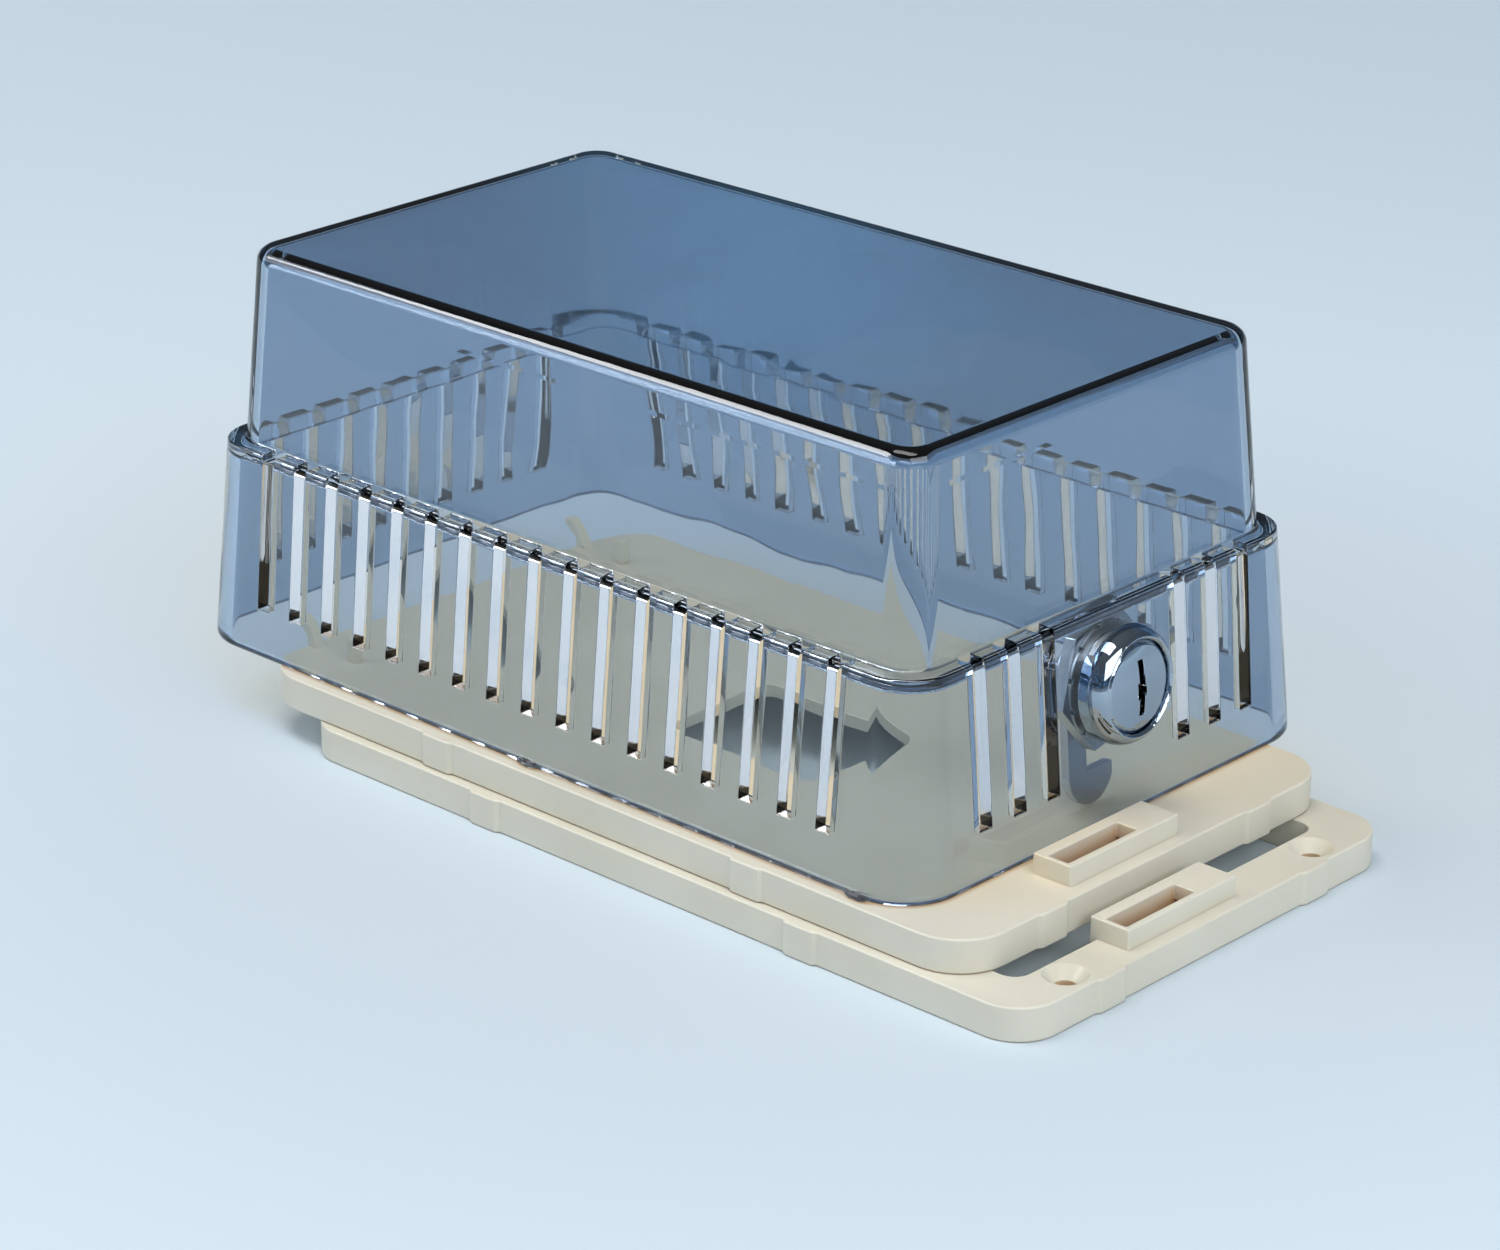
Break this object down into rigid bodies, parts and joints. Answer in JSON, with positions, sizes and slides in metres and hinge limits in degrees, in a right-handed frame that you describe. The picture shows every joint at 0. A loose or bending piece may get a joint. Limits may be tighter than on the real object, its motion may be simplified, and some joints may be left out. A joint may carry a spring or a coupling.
{
  "type": "thermostat lock box",
  "caption": "Clear vented cover with a keyed cam lock in one end, on a solid wall plate and an open ring base, laid out in steps.",
  "frame": {"origin": "centre of the ring base's four screw holes, on the ring's back face, which lies against the wall or table", "axes": "+X along the long sides towards the lock, +Z away from the wall, +Y to the right of someone who faces the lock"},
  "size_m": [0.231, 0.1262, 0.098],
  "materials": {
    "clear_plastic": "clear moulded polycarbonate, glossy, faintly blue",
    "cream_plastic": "moulded cream plastic, satin",
    "lock_chrome": "polished chrome plate on zinc",
    "nut_steel": "bright zinc plate",
    "cam_steel": "stamped steel, zinc plated, dull",
    "wafer_brass": "stamped brass",
    "spring_steel": "bright spring wire"
  },
  "bodies": {
    "ring": {"ring_base": "cream_plastic"},
    "plate": {"wall_plate": "cream_plastic"},
    "guard": {"cover": "clear_plastic", "lock_housing": "lock_chrome", "lock_nut": "nut_steel", "nut_washer": "nut_steel"},
    "plug": {"lock_plug": "lock_chrome", "stop_washer": "cam_steel", "cam": "cam_steel", "cam_washer": "cam_steel", "cam_screw": "cam_steel", "wafer_spring_1": "spring_steel", "wafer_spring_2": "spring_steel", "wafer_spring_3": "spring_steel", "wafer_spring_4": "spring_steel", "wafer_spring_5": "spring_steel"},
    "wafer_a": {"wafer_1": "wafer_brass"},
    "wafer_b": {"wafer_2": "wafer_brass"},
    "wafer_c": {"wafer_3": "wafer_brass"},
    "wafer_d": {"wafer_4": "wafer_brass"},
    "wafer_e": {"wafer_5": "wafer_brass"}
  },
  "joints": [
    {"name": "plate_lift", "type": "slide", "parent": "ring", "child": "plate", "axis": [0, 0, 1], "range_m": [0, 0.04]},
    {"name": "cover_lift", "type": "slide", "parent": "plate", "child": "guard", "axis": [0, 0, 1], "range_m": [0, 0.09]},
    {"name": "plug_turn", "type": "hinge", "parent": "guard", "child": "plug", "pos_m": [0.06301, 0.00975, 0.0417], "axis": [-0.9967, 0, -0.0806], "range_deg": [0, 90]},
    {"name": "wafer_1_slide", "type": "slide", "parent": "plug", "child": "wafer_a", "axis": [-0.0806, 0, 0.9967], "range_m": [0, 0.0005]},
    {"name": "wafer_2_slide", "type": "slide", "parent": "plug", "child": "wafer_b", "axis": [-0.0806, 0, 0.9967], "range_m": [0, 0.0005]},
    {"name": "wafer_3_slide", "type": "slide", "parent": "plug", "child": "wafer_c", "axis": [-0.0806, 0, 0.9967], "range_m": [0, 0.0005]},
    {"name": "wafer_4_slide", "type": "slide", "parent": "plug", "child": "wafer_d", "axis": [-0.0806, 0, 0.9967], "range_m": [0, 0.0005]},
    {"name": "wafer_5_slide", "type": "slide", "parent": "plug", "child": "wafer_e", "axis": [-0.0806, 0, 0.9967], "range_m": [0, 0.0005]}
  ]
}
